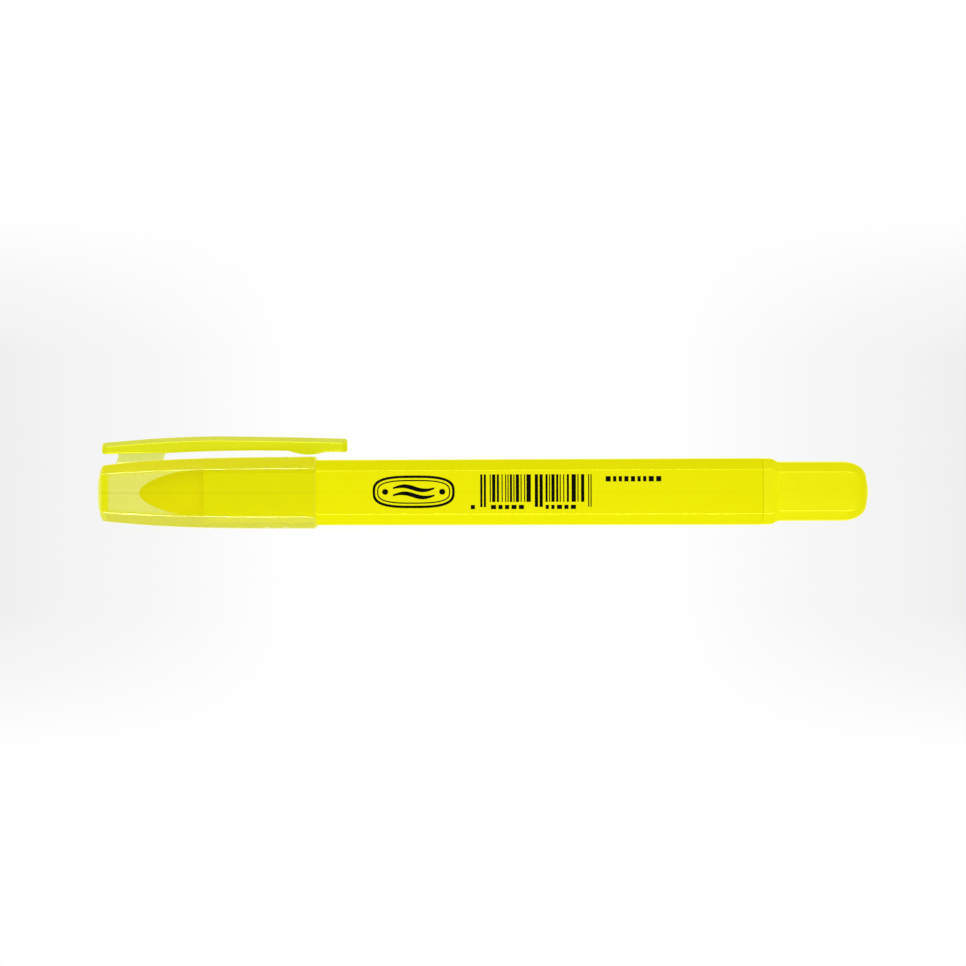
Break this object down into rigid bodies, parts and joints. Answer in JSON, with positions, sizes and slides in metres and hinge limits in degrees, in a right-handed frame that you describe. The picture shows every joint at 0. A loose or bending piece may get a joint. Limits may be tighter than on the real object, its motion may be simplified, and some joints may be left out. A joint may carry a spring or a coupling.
{
  "type": "highlighter",
  "caption": "Twist-up gel highlighter: soft-square barrel with a stick of solid gel fed by a rear knob, and a translucent cap with a pocket clip.",
  "frame": {"origin": "on the pen's axis, in the plane of the barrel's front shoulder, where the cap's mouth stops", "axes": "+X along the pen from the cap towards the turning knob, +Z towards the pocket clip, +Y across the pen"},
  "size_m": [0.1308, 0.0122, 0.0157],
  "materials": {
    "cap_plastic": "translucent frosted yellow polypropylene, gloss outside",
    "barrel_plastic": "opaque fluorescent yellow plastic, satin gloss",
    "gel": "waxy fluorescent yellow gel",
    "holder_plastic": "natural white moulded plastic",
    "screw_plastic": "natural white acetal"
  },
  "bodies": {
    "barrel": {"barrel": "barrel_plastic"},
    "cap": {"cap": "cap_plastic"},
    "clip": {"clip": "cap_plastic"},
    "knob": {"knob": "barrel_plastic", "lead_screw": "screw_plastic"},
    "stick": {"gel_stick": "gel", "stick_holder": "holder_plastic"}
  },
  "joints": [
    {"name": "cap_slide", "type": "slide", "parent": "barrel", "child": "cap", "axis": [-1, 0, 0], "range_m": [0, 0.045]},
    {"name": "clip_flex", "type": "hinge", "parent": "cap", "child": "clip", "pos_m": [-0.0257, 0, 0.00934], "axis": [0, -1, 0], "range_deg": [0, 5]},
    {"name": "knob_twist", "type": "hinge", "parent": "barrel", "child": "knob", "pos_m": [0.0752, 0, 0], "axis": [-1, 0, 0], "range_deg": [-1036, 451]},
    {"name": "stick_feed", "type": "slide", "parent": "barrel", "child": "stick", "axis": [-1, 0, 0], "range_m": [-0.0115, 0.005]}
  ],
  "couplings": [
    {"joint": "knob_twist", "follows": "stick_feed", "rad_per_m": 1570.8}
  ]
}
